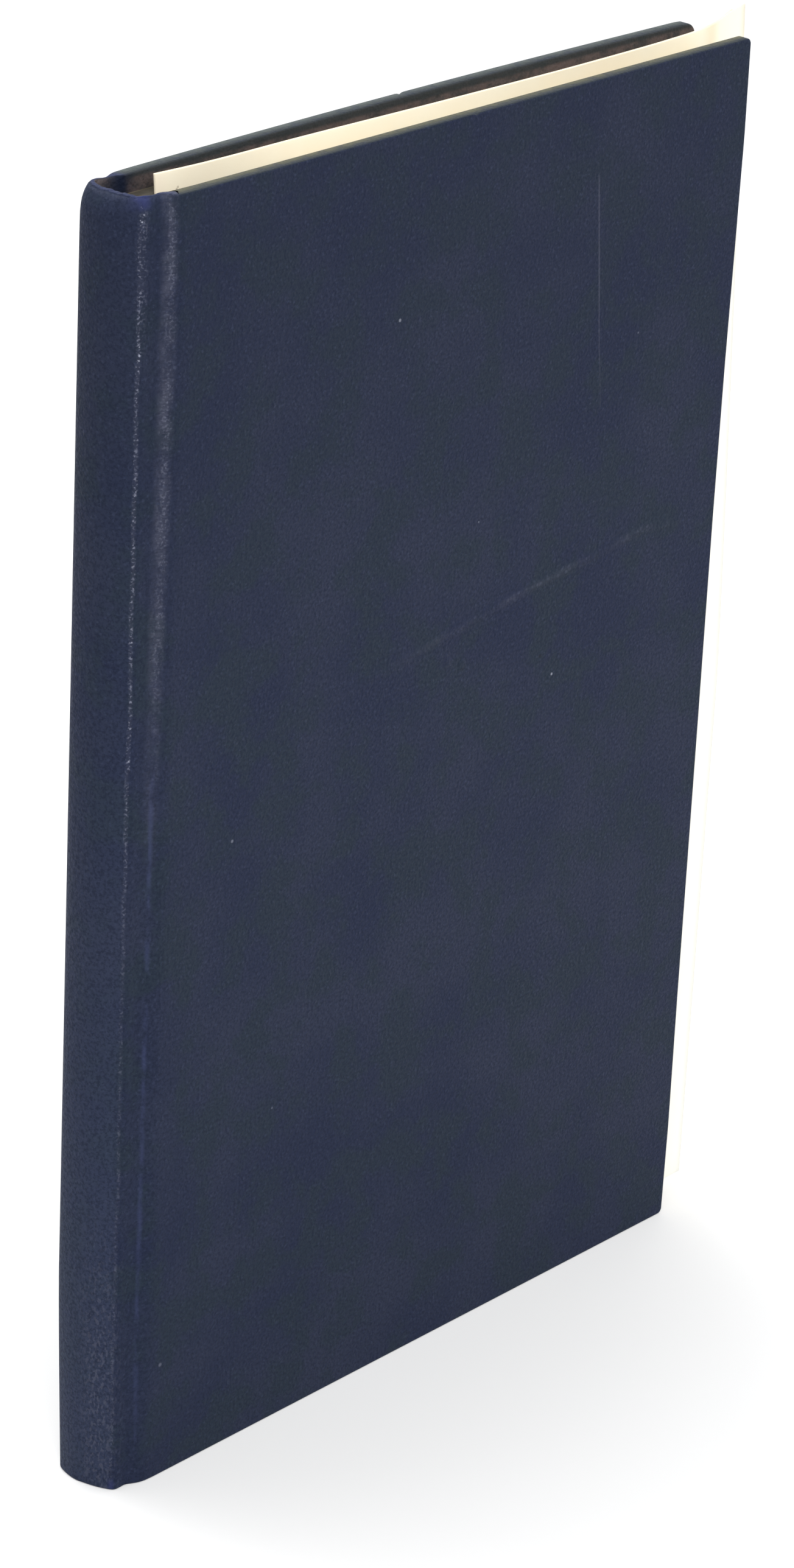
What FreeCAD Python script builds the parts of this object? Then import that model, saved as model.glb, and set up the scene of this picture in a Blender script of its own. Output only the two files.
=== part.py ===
import FreeCAD, Part
import Sketcher
import os

# A slim case-bound book in plain leathercloth, standing on its tail.
# Millimetres, +Z up. The spine faces -X, the fore edge +X, the front cover -Y.
# Sizes are first measured from a bench origin: x = 0 near the covers' spine edge,
# y = 0 at the front cover's outer face, z = 0 at the tail. Every sub-part's Placement
# then moves it so that the row's origin is the middle of the footprint.

doc = FreeCAD.newDocument("hardback_book")
sizes = doc.addObject("Spreadsheet::Sheet", "Sizes")

DRIVING_SIZES = [
    ("cover_height", 222.0, "height of the covers, tail to head"),
    ("cover_fore_edge", 136.0, "fore edge of the covers"),
    ("book_thickness", 14.5, "outer face to outer face of the two covers"),
    ("cloth_thickness", 0.3, "covering cloth"),
    ("board_thickness", 1.7, "bare board"),
    ("paper_thickness", 0.2, "endpaper"),
    ("corner_radius", 1.0, "rounding of the covers' fore corners"),
    ("board_spine_edge", 2.4, "spine edge of the bare board"),
    ("shoulder_start", 3.2, "where the cloth leaves the cover's outer face"),
    ("shoulder_end", -0.1, "where the cloth reaches the bottom of the joint"),
    ("groove_depth", 1.4, "depth of the joint below the cover's outer face"),
    ("turn_in", 15.0, "width of the cloth turned over inside"),
    ("hinge_x", -1.0, "hinge line of each cover"),
    ("hinge_clearance", 0.1, "gap each side of the hinge line in the split cloth"),
    ("spine_radius", 10.7, "round of the spine's outer face"),
    ("spine_crown", -6.0, "furthest point of the spine"),
    ("spine_middle", 8.3, "middle of the spine's round, from the front face"),
    ("inlay_thickness", 0.6, "card strip in the spine"),
    ("block_spine", -1.6, "spine face of the text block"),
    ("square_width", 3.0, "covers' overhang past the pages"),
    ("lining_thickness", 0.4, "lining glued on the text block's spine"),
    ("lining_margin", 12.0, "bare ends of the text block beyond the lining"),
    ("leaf_thickness", 0.5, "loose folded leaf, both halves together"),
    ("leaf_clearance", 0.15, "play of the loose leaf between the pages"),
    ("leaf_spine_edge", 6.6, "folded edge of the loose leaf"),
    ("leaf_depth", 9.6, "back of the leaf at its folded edge"),
    ("leaf_bow", 0.9, "bow of the leaf towards the front"),
    ("curl_margin", 0.3, "flat stretch of the leaf past the pages' fore edge"),
    ("curl_depth", 8.4, "back of the leaf where the curl begins"),
    ("curl_rounding", 0.3, "how far the curl's middle lags behind a straight bend"),
    ("foot_curl", 0.15, "curl that is left at the tail"),
    ("curl_foot", 110.0, "height at which the fore edge begins to curl back"),
    ("leaf_fore_edge", 151.4, "fore edge of the leaf at the tail"),
    ("leaf_tip_edge", 152.4, "fore edge of the leaf at the head"),
    ("leaf_tip_depth", 14.1, "back of the leaf at the head's fore corner"),
]

DERIVED_SIZES = [
    ("cover_thickness", "board_thickness + 2 * cloth_thickness"),
    ("cover_inside", "cover_thickness + paper_thickness"),
    ("board_fore_edge", "cover_fore_edge - cloth_thickness"),
    ("board_length", "cover_height - 2 * cloth_thickness"),
    ("board_inside", "cloth_thickness + board_thickness"),
    ("shoulder_slope", "groove_depth / (shoulder_start - shoulder_end)"),
    ("shoulder_cloth", "cloth_thickness * sqrt(1 + shoulder_slope * shoulder_slope)"),
    ("board_shoulder", "shoulder_start + (shoulder_cloth - cloth_thickness) / shoulder_slope"),
    ("board_corner", "shoulder_cloth + shoulder_slope * (shoulder_start - board_spine_edge)"),
    ("groove_inside", "groove_depth + cloth_thickness"),
    ("groove_double", "groove_depth + 2 * cloth_thickness"),
    ("cloth_step", "board_spine_edge - cloth_thickness"),
    ("relief_corner", "shoulder_start - (groove_inside - shoulder_cloth) / shoulder_slope"),
    ("cover_cloth_end", "hinge_x + hinge_clearance"),
    ("spine_cloth_end", "hinge_x - hinge_clearance"),
    ("middle_length", "cover_height - 2 * turn_in"),
    ("window_fore_edge", "cover_fore_edge - turn_in"),
    ("page_fore_edge", "cover_fore_edge - square_width"),
    ("page_width", "page_fore_edge - block_spine"),
    ("curl_start", "page_fore_edge + curl_margin"),
    ("page_height", "cover_height - 2 * square_width"),
    ("block_front", "cover_inside + paper_thickness"),
    ("block_thickness", "book_thickness - 2 * block_front"),
    ("spine_centre", "spine_crown + spine_radius"),
    ("inlay_front", "groove_double"),
    ("inlay_width", "book_thickness - 2 * groove_double"),
    ("shift_x", "(spine_crown + leaf_tip_edge) / 2"),
    ("shift_y", "book_thickness / 2"),
]


def fill_sheet():
    rows = [(alias, str(value), note) for alias, value, note in DRIVING_SIZES]
    rows += [(alias, "=" + formula, "worked out") for alias, formula in DERIVED_SIZES]
    for row, (alias, content, note) in enumerate(rows, start=1):
        sizes.set("A%d" % row, note)
        sizes.set("B%d" % row, content)
        sizes.setAlias("B%d" % row, alias)
    doc.recompute()


def size(alias):
    return float(sizes.get(alias))


def bound(obj, **formulas):
    """Binds properties to formulas in the sheet's aliases."""
    for name, formula in formulas.items():
        obj.setExpression(name, formula)
    return obj


def in_sheet(formula):
    """Writes a formula of bare aliases as one that reads the sheet."""
    words = formula.split()
    known = {alias for alias, *_ in DRIVING_SIZES} | {alias for alias, _ in DERIVED_SIZES}
    return " ".join("Sizes." + word if word in known else word for word in words)


# A cover is drawn once, with y running inward from its outer face. The back cover is
# the same shape turned half round about a line along X, so both use the same sizes.
TURNED = FreeCAD.Rotation(FreeCAD.Vector(1, 0, 0), 180)


def seat(obj, side, x="0", y="0", z="0"):
    """Places a piece at x, y, z from the bench origin, counted inward on its own side.

    On the back side both y and z run the other way, and no piece minds which end is up."""
    if side == "back":
        obj.Placement = FreeCAD.Placement(FreeCAD.Vector(), TURNED)
        y = "book_thickness - ( " + y + " )"
        z = "cover_height - ( " + z + " )"
    obj.setExpression("Placement.Base.x", in_sheet(x + " - shift_x"))
    obj.setExpression("Placement.Base.y", in_sheet(y + " - shift_y"))
    obj.setExpression("Placement.Base.z", in_sheet(z))
    return obj


def plane_of(body, role):
    for feature in body.Origin.OriginFeatures:
        if feature.Role == role:
            return feature


def plan_sketch(body, name, corners):
    """Draws a closed plan outline whose corners are locked to the sheet.

    A corner is a pair of aliases, and None stands for a coordinate on the axis."""
    sketch = body.newObject("Sketcher::SketchObject", name)
    sketch.AttachmentSupport = (plane_of(body, "XY_Plane"), [""])
    sketch.MapMode = "FlatFace"
    points = []
    for x, y in corners:
        points.append(FreeCAD.Vector(size(x) if x else 0, size(y) if y else 0, 0))
    count = len(points)
    for i in range(count):
        sketch.addGeometry(Part.LineSegment(points[i], points[(i + 1) % count]), False)
    for i in range(count):
        sketch.addConstraint(Sketcher.Constraint("Coincident", i, 2, (i + 1) % count, 1))
    for i, (x, y) in enumerate(corners):
        if x:
            lock = sketch.addConstraint(Sketcher.Constraint("DistanceX", -1, 1, i, 1, points[i].x))
            sketch.setExpression("Constraints[%d]" % lock, "Sizes." + x)
        if y:
            lock = sketch.addConstraint(Sketcher.Constraint("DistanceY", -1, 1, i, 1, points[i].y))
            sketch.setExpression("Constraints[%d]" % lock, "Sizes." + y)
        else:
            sketch.addConstraint(Sketcher.Constraint("PointOnObject", i, 1, -1))
    return sketch


def padded_body(name, corners, length):
    """A body padded up from a plan outline."""
    body = doc.addObject("PartDesign::Body", name)
    pad = body.newObject("PartDesign::Pad", name + "_pad")
    pad.Profile = plan_sketch(body, name + "_plan", corners)
    bound(pad, Length=in_sheet(length))
    doc.recompute()
    return body


def round_fore_corners(body, radius):
    """Rounds the head and tail corners of a padded body at its fore edge."""
    pad = body.Tip
    box = pad.Shape.BoundBox
    picked = []
    for number, edge in enumerate(pad.Shape.Edges, start=1):
        ends = edge.BoundBox
        along_y = ends.XLength < 1e-6 and ends.ZLength < 1e-6
        if along_y and abs(ends.XMax - box.XMax) < 1e-6:
            picked.append("Edge%d" % number)
    fillet = body.newObject("PartDesign::Fillet", body.Name + "_corners")
    fillet.Base = (pad, picked)
    bound(fillet, Radius=in_sheet(radius))
    body.Tip = fillet
    doc.recompute()


def box(name, side, low, extent):
    """A box from its low corner, with y counted inward on either side."""
    piece = doc.addObject("Part::Box", name)
    bound(piece, Length=in_sheet(extent[0]), Width=in_sheet(extent[1]), Height=in_sheet(extent[2]))
    return seat(piece, side, *low)


def cut(name, base, tool):
    piece = doc.addObject("Part::Cut", name)
    piece.Base = base
    piece.Tool = tool
    return piece


def fused(name, pieces):
    piece = doc.addObject("Part::MultiFuse", name)
    piece.Shapes = pieces
    piece.Refine = True
    return piece


def board(side):
    """The stiff board inside a cover, its spine corner bevelled under the cloth."""
    name = side + "_board"
    corners = [
        ("board_spine_edge", "board_corner"),
        ("board_shoulder", "cloth_thickness"),
        ("board_fore_edge", "cloth_thickness"),
        ("board_fore_edge", "board_inside"),
        ("board_spine_edge", "board_inside"),
    ]
    body = padded_body(name, corners, "board_length")
    round_fore_corners(body, "corner_radius - cloth_thickness")
    return seat(body, side, z="cloth_thickness")


def cover_cloth(side, bare_board):
    """Cloth over the board's outside, turned over its edges, and across half the joint."""
    name = side + "_cover_cloth"
    corners = [
        ("cover_cloth_end", "groove_depth"),
        ("shoulder_end", "groove_depth"),
        ("shoulder_start", None),
        ("cover_fore_edge", None),
        ("cover_fore_edge", "cover_thickness"),
        ("cloth_step", "cover_thickness"),
        ("cloth_step", "groove_double"),
        ("cover_cloth_end", "groove_double"),
    ]
    block = padded_body(name + "_block", corners, "cover_height")
    round_fore_corners(block, "corner_radius")
    seat(block, side)
    relief_corners = [
        ("spine_cloth_end", "groove_inside"),
        ("relief_corner", "groove_inside"),
        ("board_spine_edge", "board_corner"),
        ("board_spine_edge", "cover_inside"),
        ("spine_cloth_end", "cover_inside"),
    ]
    relief = padded_body(name + "_relief", relief_corners, "middle_length")
    seat(relief, side, z="turn_in")
    low = ("board_spine_edge", "board_inside", "turn_in")
    extent = ("window_fore_edge - board_spine_edge", "cover_inside - board_inside", "middle_length")
    window = box(name + "_window", side, low, extent)
    hollow = fused(name + "_hollow", [bare_board, relief, window])
    return cut(name, block, hollow)


def pastedown(side):
    """Paper over the inside of a cover, let down onto the board between the turn-ins."""
    name = side + "_pastedown"
    low = ("board_spine_edge", "cover_thickness", "square_width")
    extent = ("page_fore_edge - board_spine_edge", "paper_thickness", "page_height")
    sheet = box(name + "_sheet", side, low, extent)
    low = ("board_spine_edge", "board_inside", "turn_in")
    extent = ("window_fore_edge - board_spine_edge", "cloth_thickness", "middle_length")
    return fused(name, [sheet, box(name + "_middle", side, low, extent)])


def round_column(name, radius, length, z="0"):
    """A full cylinder about the centre of the spine's round."""
    column = doc.addObject("Part::Cylinder", name)
    bound(column, Radius=in_sheet(radius), Height=in_sheet(length))
    return seat(column, "front", "spine_centre", "spine_middle", z)


def spine_bow(name, radius, y, width, z, length):
    """The bulge of a column past the ends of the covers' cloth, cut off square at both joints."""
    low = ("spine_crown", y, z)
    frame = box(name + "_frame", "front", low, ("spine_cloth_end - spine_crown", width, length))
    piece = doc.addObject("Part::Common", name)
    piece.Base = round_column(name + "_round", radius, length, z)
    piece.Tool = frame
    return piece


def spine_inlay():
    """The card strip that keeps the spine's round."""
    outer = "spine_radius - cloth_thickness"
    where = ("inlay_front", "inlay_width", "cloth_thickness", "board_length")
    outside = spine_bow("spine_inlay_outside", outer, *where)
    inside = spine_bow("spine_inlay_inside", outer + " - inlay_thickness", *where)
    return cut("spine_inlay", outside, inside)


def spine_cloth(inlay):
    """Cloth over the spine and half of each joint, turned in at the head and tail."""
    name = "spine_cloth"
    width = "book_thickness - 2 * groove_depth"
    whole = spine_bow(name + "_whole", "spine_radius", "groove_depth", width, "0", "cover_height")
    inner = "spine_radius - 2 * cloth_thickness - inlay_thickness"
    inside = spine_bow(name + "_inside", inner, "inlay_front", "inlay_width", "0", "cover_height")
    width = "book_thickness - 2 * groove_inside"
    window = spine_bow(name + "_window", "spine_radius - cloth_thickness", "groove_inside", width,
                       "turn_in", "middle_length")
    return cut(name, whole, fused(name + "_hollow", [inlay, inside, window]))


def flyleaf(name, y):
    """The free half of an endpaper, flat against the text block."""
    low = ("block_spine", y, "square_width")
    return box(name, "front", low, ("page_width", "paper_thickness", "page_height"))


def midway(start, end, aside):
    """The point halfway along a straight run in plan, moved aside in y."""
    return FreeCAD.Vector((start.x + end.x) / 2, (start.y + end.y) / 2 + aside, start.z)


def leaf_face(height, fore_x, fore_depth, grow, inward):
    """The two arcs of one face of the leaf in plan: its bow, then its curl."""
    def point(x, depth):
        return FreeCAD.Vector(x, depth + inward, height)
    fold = point(size("leaf_spine_edge") - grow, size("leaf_depth"))
    start = point(size("curl_start"), size("curl_depth"))
    fore = point(fore_x, fore_depth)
    turn = fore_depth - size("curl_depth")
    bow = Part.Arc(fold, midway(fold, start, -size("leaf_bow")), start)
    lag = size("curl_rounding") * min(1, turn)
    return bow, Part.Arc(start, midway(start, fore, -lag), fore)


def leaf_outline(height, fore_x, fore_depth, grow=0):
    """Closed plan outline of the leaf at one height, made thicker by grow on each face."""
    rear = leaf_face(height, fore_x, fore_depth, grow, grow)
    near = leaf_face(height, fore_x, fore_depth, grow, -size("leaf_thickness") - grow)
    ends = [Part.LineSegment(rear[1].EndPoint, near[1].EndPoint),
            Part.LineSegment(near[0].StartPoint, rear[0].StartPoint)]
    edges = [rear[0], rear[1], ends[0], near[1], near[0], ends[1]]
    return Part.Wire([edge.toShape() for edge in edges])


def straight_fore_edge():
    return size("leaf_fore_edge"), size("curl_depth") + size("foot_curl")


def loose_leaf():
    """A folded sheet laid in between the pages, its free corner curled back at the head."""
    straight = straight_fore_edge()
    curled = (size("leaf_tip_edge"), size("leaf_tip_depth"))
    levels = [(0, straight), (size("curl_foot"), straight), (size("cover_height"), curled)]
    outlines = [leaf_outline(height, *fore) for height, fore in levels]
    leaf = doc.addObject("Part::Feature", "loose_leaf")
    leaf.Shape = Part.makeLoft(outlines, True, True)
    return seat(leaf, "front")


def leaf_slot():
    """The room that the loose leaf takes between the pages, with its clearance."""
    outline = leaf_outline(0, *straight_fore_edge(), size("leaf_clearance"))
    slot = doc.addObject("Part::Feature", "leaf_slot")
    slot.Shape = Part.Face(outline).extrude(FreeCAD.Vector(0, 0, size("cover_height")))
    return seat(slot, "front")


def text_block():
    """All the pages as one solid, parted where the loose leaf stands between them."""
    low = ("block_spine", "block_front", "square_width")
    pages = box("pages", "front", low, ("page_width", "block_thickness", "page_height"))
    return cut("text_block", pages, leaf_slot())


def spine_lining():
    """Lining glued to the spine of the pages, short of both ends."""
    low = ("block_spine - lining_thickness", "block_front", "square_width + lining_margin")
    extent = ("lining_thickness", "block_thickness", "page_height - 2 * lining_margin")
    return box("spine_lining", "front", low, extent)


def build():
    fill_sheet()
    inlay = spine_inlay()
    parts = [inlay, spine_cloth(inlay)]
    for side in ("front", "back"):
        bare_board = board(side)
        parts += [bare_board, cover_cloth(side, bare_board), pastedown(side)]
    parts.append(flyleaf("front_flyleaf", "cover_inside"))
    parts.append(flyleaf("back_flyleaf", "book_thickness - block_front"))
    parts += [text_block(), spine_lining(), loose_leaf()]
    doc.recompute()
    return parts


def check(parts):
    for obj in doc.Objects:
        if "Invalid" in obj.State or "Error" in obj.State:
            raise RuntimeError("failed: " + obj.Label)
    for part in parts:
        if part.Shape.isNull() or not part.Shape.isValid():
            raise RuntimeError("bad shape: " + part.Label)


def main():
    parts = build()
    check(parts)
    os.makedirs("parts", exist_ok=True)
    for part in parts:
        part.Shape.exportStep("parts/" + part.Label + ".step")
        print(part.Label, len(part.Shape.Solids), round(part.Shape.Volume, 1), part.Shape.BoundBox)


main()
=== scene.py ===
import math

import bpy
import numpy as np
from mathutils import Matrix, Vector


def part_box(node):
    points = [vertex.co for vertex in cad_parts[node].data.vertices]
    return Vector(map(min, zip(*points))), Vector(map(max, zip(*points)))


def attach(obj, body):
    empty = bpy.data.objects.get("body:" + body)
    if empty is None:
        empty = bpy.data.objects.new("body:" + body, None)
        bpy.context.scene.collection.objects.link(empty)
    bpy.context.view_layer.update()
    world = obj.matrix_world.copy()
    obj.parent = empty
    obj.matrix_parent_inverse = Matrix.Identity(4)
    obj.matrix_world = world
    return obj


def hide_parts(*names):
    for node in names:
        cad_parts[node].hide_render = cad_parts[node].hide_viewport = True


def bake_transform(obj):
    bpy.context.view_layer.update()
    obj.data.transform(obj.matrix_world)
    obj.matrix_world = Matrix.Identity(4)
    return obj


# A slim hardback book in navy leathercloth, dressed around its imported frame.
# Plan sizes are millimetres on a bench: x from near the covers' spine edge to the fore
# edge, y inward from the front cover's outer face, z up from the tail.

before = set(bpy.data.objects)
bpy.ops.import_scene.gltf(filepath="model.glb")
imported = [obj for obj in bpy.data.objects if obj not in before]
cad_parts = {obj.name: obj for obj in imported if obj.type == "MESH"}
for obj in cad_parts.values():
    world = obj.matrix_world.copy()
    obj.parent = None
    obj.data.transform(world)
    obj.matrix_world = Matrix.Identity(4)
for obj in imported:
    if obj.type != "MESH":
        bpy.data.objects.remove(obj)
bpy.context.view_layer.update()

MM = 0.001
FORE_EDGE = 136.0
PAPER = 0.2
cover_low, cover_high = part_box("front_cover_cloth")
HEIGHT = cover_high.z / MM
THICKNESS = (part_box("back_cover_cloth")[1].y - cover_low.y) / MM
COVER = (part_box("front_flyleaf")[0].y - cover_low.y) / MM - PAPER
BENCH = Vector((cover_high.x - FORE_EDGE * MM, cover_low.y, 0))
page_low, page_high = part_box("text_block")
PAGES_SPINE = (page_low.x - BENCH.x) / MM
PAGES_FORE = (page_high.x - BENCH.x) / MM
SQUARE = page_low.z / MM
LEAF_FOLD = (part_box("loose_leaf")[0].x - BENCH.x) / MM


def place(points):
    """Bench millimetres to metres in the row frame."""
    return np.asarray(points, float) * MM + np.array(BENCH)


def smoothstep(values, low=0.0, high=1.0):
    t = np.clip((np.asarray(values, float) - low) / (high - low), 0, 1)
    return t * t * (3 - 2 * t)


def smooth_path(points, steps):
    """Points on a smooth curve through the given ones, with steps to each run."""
    p = np.array(points, float)
    p = np.vstack([2 * p[0] - p[1], p, 2 * p[-1] - p[-2]])
    t = (np.arange(steps) / steps)[:, None]
    runs = []
    for a, b, c, d in zip(p[:-3], p[1:-2], p[2:-1], p[3:]):
        runs.append(b + 0.5 * t * (c - a) + t**2 * (a - 2.5 * b + 2 * c - 0.5 * d)
                    + t**3 * (1.5 * (b - c) + 0.5 * (d - a)))
    return np.vstack(runs + [p[-2:-1]])


def inward_normals(path):
    """Unit normals of a plan path, on the side that is left of its run."""
    along = np.gradient(path, axis=0)
    along /= np.linalg.norm(along, axis=1)[:, None]
    return np.stack([-along[:, 1], along[:, 0]], axis=1)


def spaced(low, high, step, extra=()):
    """Values about a step apart from low to high, with the extra ones among them."""
    count = max(2, int(round((high - low) / step)) + 1)
    values = np.concatenate([np.linspace(low, high, count), extra])
    return np.unique(np.round(values, 4))


def mesh_object(name, vertices, faces, attributes=()):
    mesh = bpy.data.meshes.new(name)
    mesh.from_pydata([tuple(v) for v in vertices], [], [tuple(int(i) for i in f) for f in faces])
    mesh.update()
    mesh.shade_smooth()
    for label, values in attributes:
        layer = mesh.attributes.new(label, "FLOAT_VECTOR", "POINT")
        layer.data.foreach_set("vector", np.asarray(values, np.float32).ravel())
    obj = bpy.data.objects.new(name, mesh)
    bpy.context.scene.collection.objects.link(obj)
    return obj


# Thin shells: every sheet of the book is a pair of plan paths, one for each face, swept
# up the height. The two faces are joined round all four edges with rounded rims.

RIM_STEPS = 5


def rim_rows(levels):
    """Each row of a shell as its height, its turn round the rim and the end it is at."""
    turns = np.linspace(0, math.pi / 2, RIM_STEPS + 1)[1:]
    rows = [(0.0, turn, -1) for turn in turns[::-1]]
    rows += [(z, 0.0, 0) for z in levels]
    rows += [(0.0, turn, 1) for turn in turns]
    return rows


def shell(name, faces_at, levels, low, high, rim, edge=None, reshape=None, along=None):
    """A thin closed sheet. faces_at(z) gives the outer and inner plan paths at a height,
    edge how far round the fore edge each station is, from 0 to 1, along its place on the
    cloth, and reshape(points) may move the finished bench points."""
    rows = rim_rows(levels)
    outer, inner, inside = [], [], []
    for z, turn, end in rows:
        level = {-1: low, 0: z, 1: high}[end]
        front, back = faces_at(level)
        across = back - front
        gap = np.linalg.norm(across, axis=1)
        radius = np.minimum(rim, 0.48 * gap)
        shift = (across / gap[:, None]) * (radius * (1 - math.cos(turn)))[:, None]
        height = np.full(len(front), z)
        if end:
            height = level - end * radius * (1 - math.sin(turn))
        outer.append(np.column_stack([front + shift, height]))
        inner.append(np.column_stack([back - shift, height]))
        round_rim = np.full(len(front), turn / (math.pi / 2))
        inside.append(round_rim if edge is None else np.maximum(round_rim, edge))
    count = len(outer[0])
    points = np.concatenate([np.array(outer).reshape(-1, 3), np.array(inner).reshape(-1, 3)])
    if reshape is not None:
        points = reshape(points)
    side = np.array(inside).ravel() * 0.5
    inside = np.concatenate([side, 1 - side])
    if along is None:
        along = np.arange(count, dtype=float)
    stretch = np.tile(along, 2 * len(rows))
    grid = np.arange(len(rows) * count).reshape(len(rows), count)
    back = grid + grid.size
    quads = []
    for a, b in ((grid, False), (back, True)):
        cells = np.stack([a[:-1, :-1], a[:-1, 1:], a[1:, 1:], a[1:, :-1]], axis=-1).reshape(-1, 4)
        quads.append(cells[:, ::-1] if b else cells)
    ends = [(back[:-1, 0], grid[:-1, 0], grid[1:, 0], back[1:, 0]),
            (grid[:-1, -1], back[:-1, -1], back[1:, -1], grid[1:, -1]),
            (grid[-1, :-1], grid[-1, 1:], back[-1, 1:], back[-1, :-1]),
            (back[0, :-1], back[0, 1:], grid[0, 1:], grid[0, :-1])]
    quads += [np.stack(strip, axis=-1) for strip in ends]
    cloth = np.column_stack([stretch, points[:, 2], inside])
    attributes = [("rest", points), ("cloth", cloth)]
    return mesh_object(name, place(points), np.concatenate(quads), attributes)


# The covering cloth, from the back cover round the spine to the front cover. Each line
# is one point in plan at mid height, at the tail and at the head, where the spine is
# pinched in, and the depth from the outer face to the inner one there.

WRAP = [
    ((6.0, 14.5), (6.0, 14.5), (6.0, 14.5), 2.3),
    ((3.8, 14.48), (3.8, 14.45), (3.6, 14.42), 2.28),
    ((2.5, 14.3), (2.5, 14.3), (2.5, 14.32), 2.2),
    ((1.5, 13.95), (1.4, 13.9), (1.6, 14.05), 1.75),
    ((0.5, 13.5), (0.4, 13.5), (0.9, 13.75), 1.1),
    ((-0.6, 13.2), (-0.6, 13.2), (0.1, 13.45), 0.7),
    ((-1.5, 13.12), (-1.5, 13.1), (-0.5, 13.5), 0.62),
    ((-2.3, 13.2), (-2.2, 13.15), (-1.0, 13.75), 0.62),
    ((-3.3, 13.55), (-3.1, 13.35), (-1.55, 13.95), 0.7),
    ((-4.4, 13.8), (-3.9, 13.3), (-2.6, 13.8), 0.8),
    ((-5.2, 13.25), (-4.55, 12.6), (-3.45, 13.0), 0.9),
    ((-5.8, 12.0), (-5.05, 11.2), (-4.1, 11.8), 1.0),
    ((-6.15, 10.2), (-5.4, 9.5), (-4.4, 10.1), 1.1),
    ((-6.2, 8.3), (-5.45, 8.0), (-4.3, 8.3), 1.15),
    ((-6.0, 6.6), (-5.15, 6.6), (-4.1, 6.7), 1.15),
    ((-5.55, 5.1), (-4.8, 5.2), (-4.0, 5.4), 1.15),
    ((-5.0, 3.8), (-4.35, 3.9), (-3.65, 4.4), 1.05),
    ((-4.3, 2.7), (-3.85, 2.8), (-3.1, 3.6), 0.9),
    ((-3.6, 1.95), (-3.35, 1.95), (-2.35, 3.05), 0.75),
    ((-2.8, 1.5), (-2.8, 1.5), (-1.6, 2.65), 0.65),
    ((-1.8, 1.4), (-1.9, 1.4), (-0.8, 2.4), 0.62),
    ((-0.6, 1.35), (-0.6, 1.4), (0.0, 2.32), 0.65),
    ((0.5, 1.1), (0.4, 0.95), (0.8, 2.15), 0.9),
    ((1.5, 0.6), (1.4, 0.45), (1.65, 1.3), 1.4),
    ((2.5, 0.2), (2.5, 0.15), (2.3, 0.28), 2.1),
    ((3.8, 0.02), (3.8, 0.03), (3.4, 0.06), 2.28),
    ((6.0, 0.0), (6.0, 0.0), (6.0, 0.0), 2.3),
]
WRAP_STEPS = 5

# Lines of WRAP: the back cover's sheet meets the spine's at SEAM, inside the back joint, and
# the rubbed ridge beside the front joint is at RIDGE.
SEAM = 8
RIDGE = 18

# The head's shape comes in over the last PINCH millimetres and the tail's over the first
# FOOT ones, each by a power of the share that is left.
PINCH = 9.0
PINCH_POWER = 5.6
FOOT = 38.0
FOOT_POWER = 1.3

# The rounding of the covers' edges and of each one's fore corners, and where along each
# head edge its nick is.
EDGE_ROUND = 0.3
CORNERS = {"front": 1.0, "back": 2.6}
NICKS = {"front": 68.3, "back": 65.7}

# In the joints the cloth's inner face keeps within INNER_LIMIT of its cover's outer face,
# clear of the pages, and above the pages it may go HEAD_PLAY further in.
INNER_LIMIT = 2.75
HEAD_PLAY = 2.0


def fore_stations(side):
    """Outer path, inner path and turn round the fore edge over the flat of a cover."""
    nick = NICKS[side] + np.array([-1.0, -0.6, -0.3, 0.0, 0.3, 0.6, 1.0])
    near_edge = FORE_EDGE - np.array([1.6, 1.2, 0.9, 0.7])
    x = spaced(WRAP[0][0][0], FORE_EDGE - EDGE_ROUND, 1.6, np.concatenate([nick, near_edge]))[1:]
    turns = np.linspace(0, math.pi / 2, RIM_STEPS + 1)[1:]
    lift = np.concatenate([np.zeros(len(x)), EDGE_ROUND * (1 - np.cos(turns))])
    x = np.concatenate([x, FORE_EDGE - EDGE_ROUND * (1 - np.sin(turns))])
    turned = np.concatenate([np.zeros(len(x) - len(turns)), turns / (math.pi / 2)])
    outer = np.column_stack([x, lift])
    inner = np.column_stack([x, COVER - lift])
    if side == "back":
        outer[:, 1] = THICKNESS - outer[:, 1]
        inner[:, 1] = THICKNESS - inner[:, 1]
        return outer[::-1], inner[::-1], turned[::-1]
    return outer, inner, turned


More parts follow.
